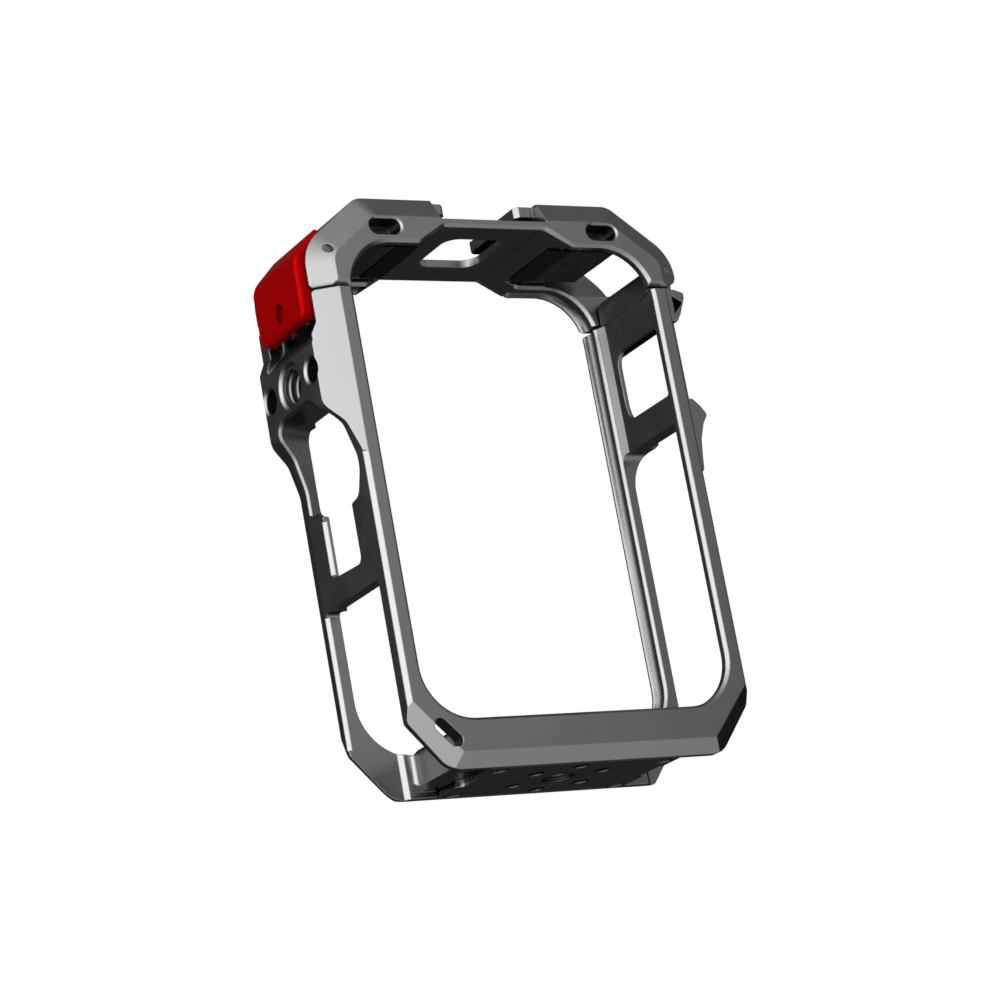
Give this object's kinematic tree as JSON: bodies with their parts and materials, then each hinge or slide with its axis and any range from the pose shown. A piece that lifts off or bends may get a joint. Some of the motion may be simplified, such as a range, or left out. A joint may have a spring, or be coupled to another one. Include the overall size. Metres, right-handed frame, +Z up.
{
  "type": "camera cage",
  "caption": "Upright metal cage that clamps around a small camera, with a hinged lid, a sprung red latch lever, cold shoes and tripod threads.",
  "frame": {"origin": "mouth of the base tripod thread, in the plane of the underside", "axes": "+X to the right seen from the front, +Y into the depth (from the front face to the rear), +Z up"},
  "size_m": [0.0669, 0.022, 0.0887],
  "materials": {
    "anodised_body": "satin dark grey anodised",
    "red_anodised": "satin red anodised",
    "steel": "plain turned steel",
    "soft_pad": "matte",
    "foam": "speckled felt"
  },
  "bodies": {
    "frame": {"main_frame": "anodised_body", "base_plate": "anodised_body", "base_screws": "steel", "base_thread_insert": "steel", "side_thread_insert": "steel", "base_pad": "soft_pad", "catch_spring": "steel", "catch_screws": "steel", "hinge_washers": "steel"},
    "lid": {"lid_frame": "anodised_body", "hinge_pin": "steel", "latch_pin": "steel", "lid_foam_left": "foam", "lid_foam_right": "foam", "lid_strip_left": "soft_pad", "lid_strip_right": "soft_pad"},
    "latch": {"latch_lever": "red_anodised", "latch_washers": "steel", "latch_spring": "steel"}
  },
  "joints": [
    {"name": "lid_hinge", "type": "hinge", "parent": "frame", "child": "lid", "pos_m": [0.0304, 0, 0.0778], "axis": [0, 1, 0], "range_deg": [0, 100], "deforming": ["catch_spring"]},
    {"name": "latch_pivot", "type": "hinge", "parent": "lid", "child": "latch", "pos_m": [-0.0293, 0, 0.07986], "axis": [0, 1, 0], "range_deg": [0, 45], "stiffness_Nm_per_rad": 0.02, "springref_deg": -28.65, "deforming": ["latch_spring"]}
  ]
}
